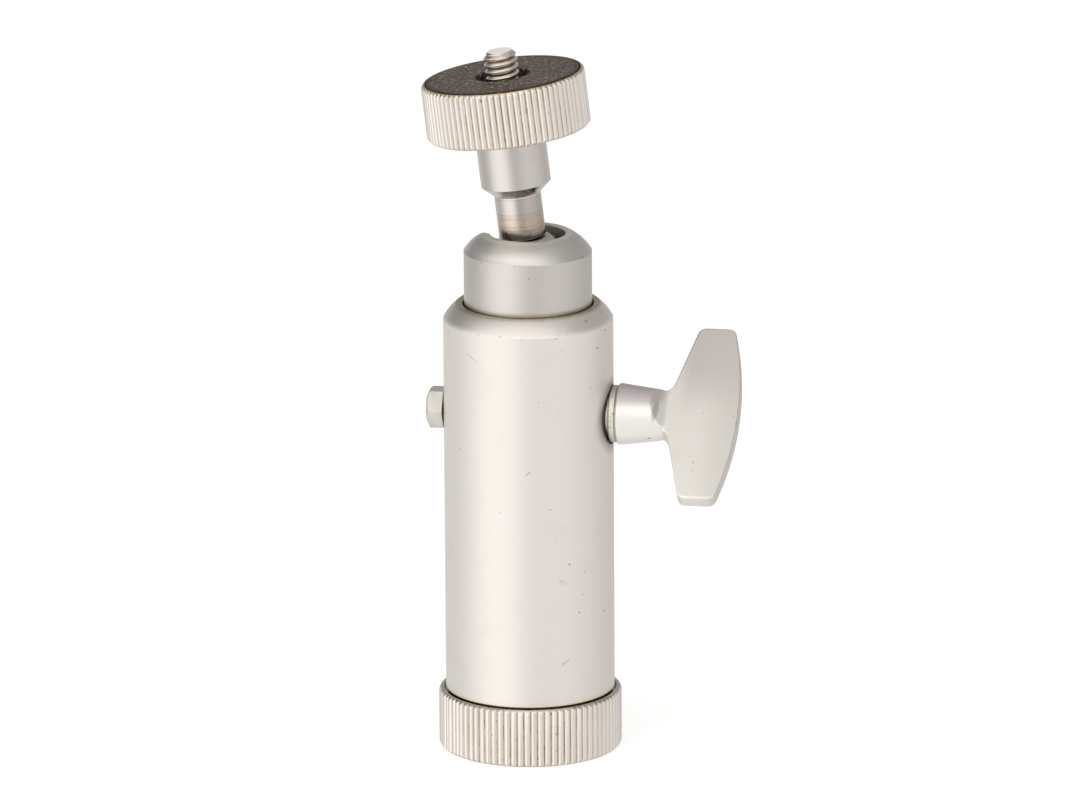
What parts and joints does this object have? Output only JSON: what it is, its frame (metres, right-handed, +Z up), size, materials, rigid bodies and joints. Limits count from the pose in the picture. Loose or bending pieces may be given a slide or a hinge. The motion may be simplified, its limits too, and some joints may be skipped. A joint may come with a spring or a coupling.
{
  "type": "camera ball head",
  "caption": "Tall cylindrical ball head with a drop slot, a side wing key, a knurled foot and a knurled lock disc under its camera screw.",
  "frame": {"origin": "on the barrel's axis, in the plane of the foot's underside, at the mouth of the tripod socket", "axes": "+Z up along the barrel; -Y towards the viewer of the picture; +X to the right, the wing key's side"},
  "size_m": [0.0592, 0.0384, 0.1332],
  "materials": {
    "satin_chrome": "satin chrome plate on brass",
    "grey_chrome": "satin chrome plate on brass",
    "nickel": "nickel plate on brass, worn",
    "plated_brass": "worn plate",
    "brass": "turned",
    "acetal": "turned, natural",
    "steel": "turned, bright",
    "fibre": "vulcanised fibre",
    "leatherette": "pebble grain"
  },
  "bodies": {
    "base": {"foot": "nickel", "reducer_bush": "steel", "barrel": "satin_chrome", "thrust_washer": "fibre", "guide_block": "brass", "key_bush": "plated_brass", "end_bush": "brass"},
    "key": {"wing_key": "satin_chrome", "eccentric_shaft": "steel", "key_pin": "steel", "hex_nut": "satin_chrome"},
    "lifter": {"plunger": "steel", "pressure_cup": "acetal", "spring_washer": "steel", "cup_spring": "steel"},
    "sleeve": {"socket_sleeve": "grey_chrome"},
    "ball": {"clamping_ball": "steel"},
    "stem": {"ball_stem": "steel", "camera_screw": "steel"},
    "pad": {"disc_pad": "leatherette"},
    "disc": {"lock_disc": "nickel"}
  },
  "joints": [
    {"name": "key_turn", "type": "hinge", "parent": "base", "child": "key", "pos_m": [0, 0, 0.0643], "axis": [-0.9863, 0.165, 0], "range_deg": [0, 65]},
    {"name": "lifter_drop", "type": "slide", "parent": "base", "child": "lifter", "axis": [0, 0, 1], "range_m": [-0.0004, 0], "deforming": ["cup_spring"]},
    {"name": "socket_pan", "type": "hinge", "parent": "base", "child": "sleeve", "pos_m": [0, 0, 0.09], "axis": [0, 0, 1], "continuous": true},
    {"name": "stem_tilt", "type": "hinge", "parent": "sleeve", "child": "ball", "pos_m": [0, 0, 0.09], "axis": [-0.705, -0.705, -0.0773], "range_deg": [-19, 85.5]},
    {"name": "stem_spin", "type": "hinge", "parent": "ball", "child": "stem", "pos_m": [0, 0, 0.09], "axis": [-0.1158, 0.0069, 0.9932], "continuous": true},
    {"name": "disc_rise", "type": "slide", "parent": "stem", "child": "pad", "axis": [-0.1158, 0.0069, 0.9932], "range_m": [0, 0.0032]},
    {"name": "disc_turn", "type": "hinge", "parent": "pad", "child": "disc", "pos_m": [0, 0, 0.09], "axis": [-0.1158, 0.0069, 0.9932], "range_deg": [0, 900]}
  ],
  "couplings": [
    {"joint": "lifter_drop", "follows": "key_turn", "m_per_rad": -0.000305},
    {"joint": "disc_rise", "follows": "disc_turn", "m_per_rad": 0.00020213}
  ]
}
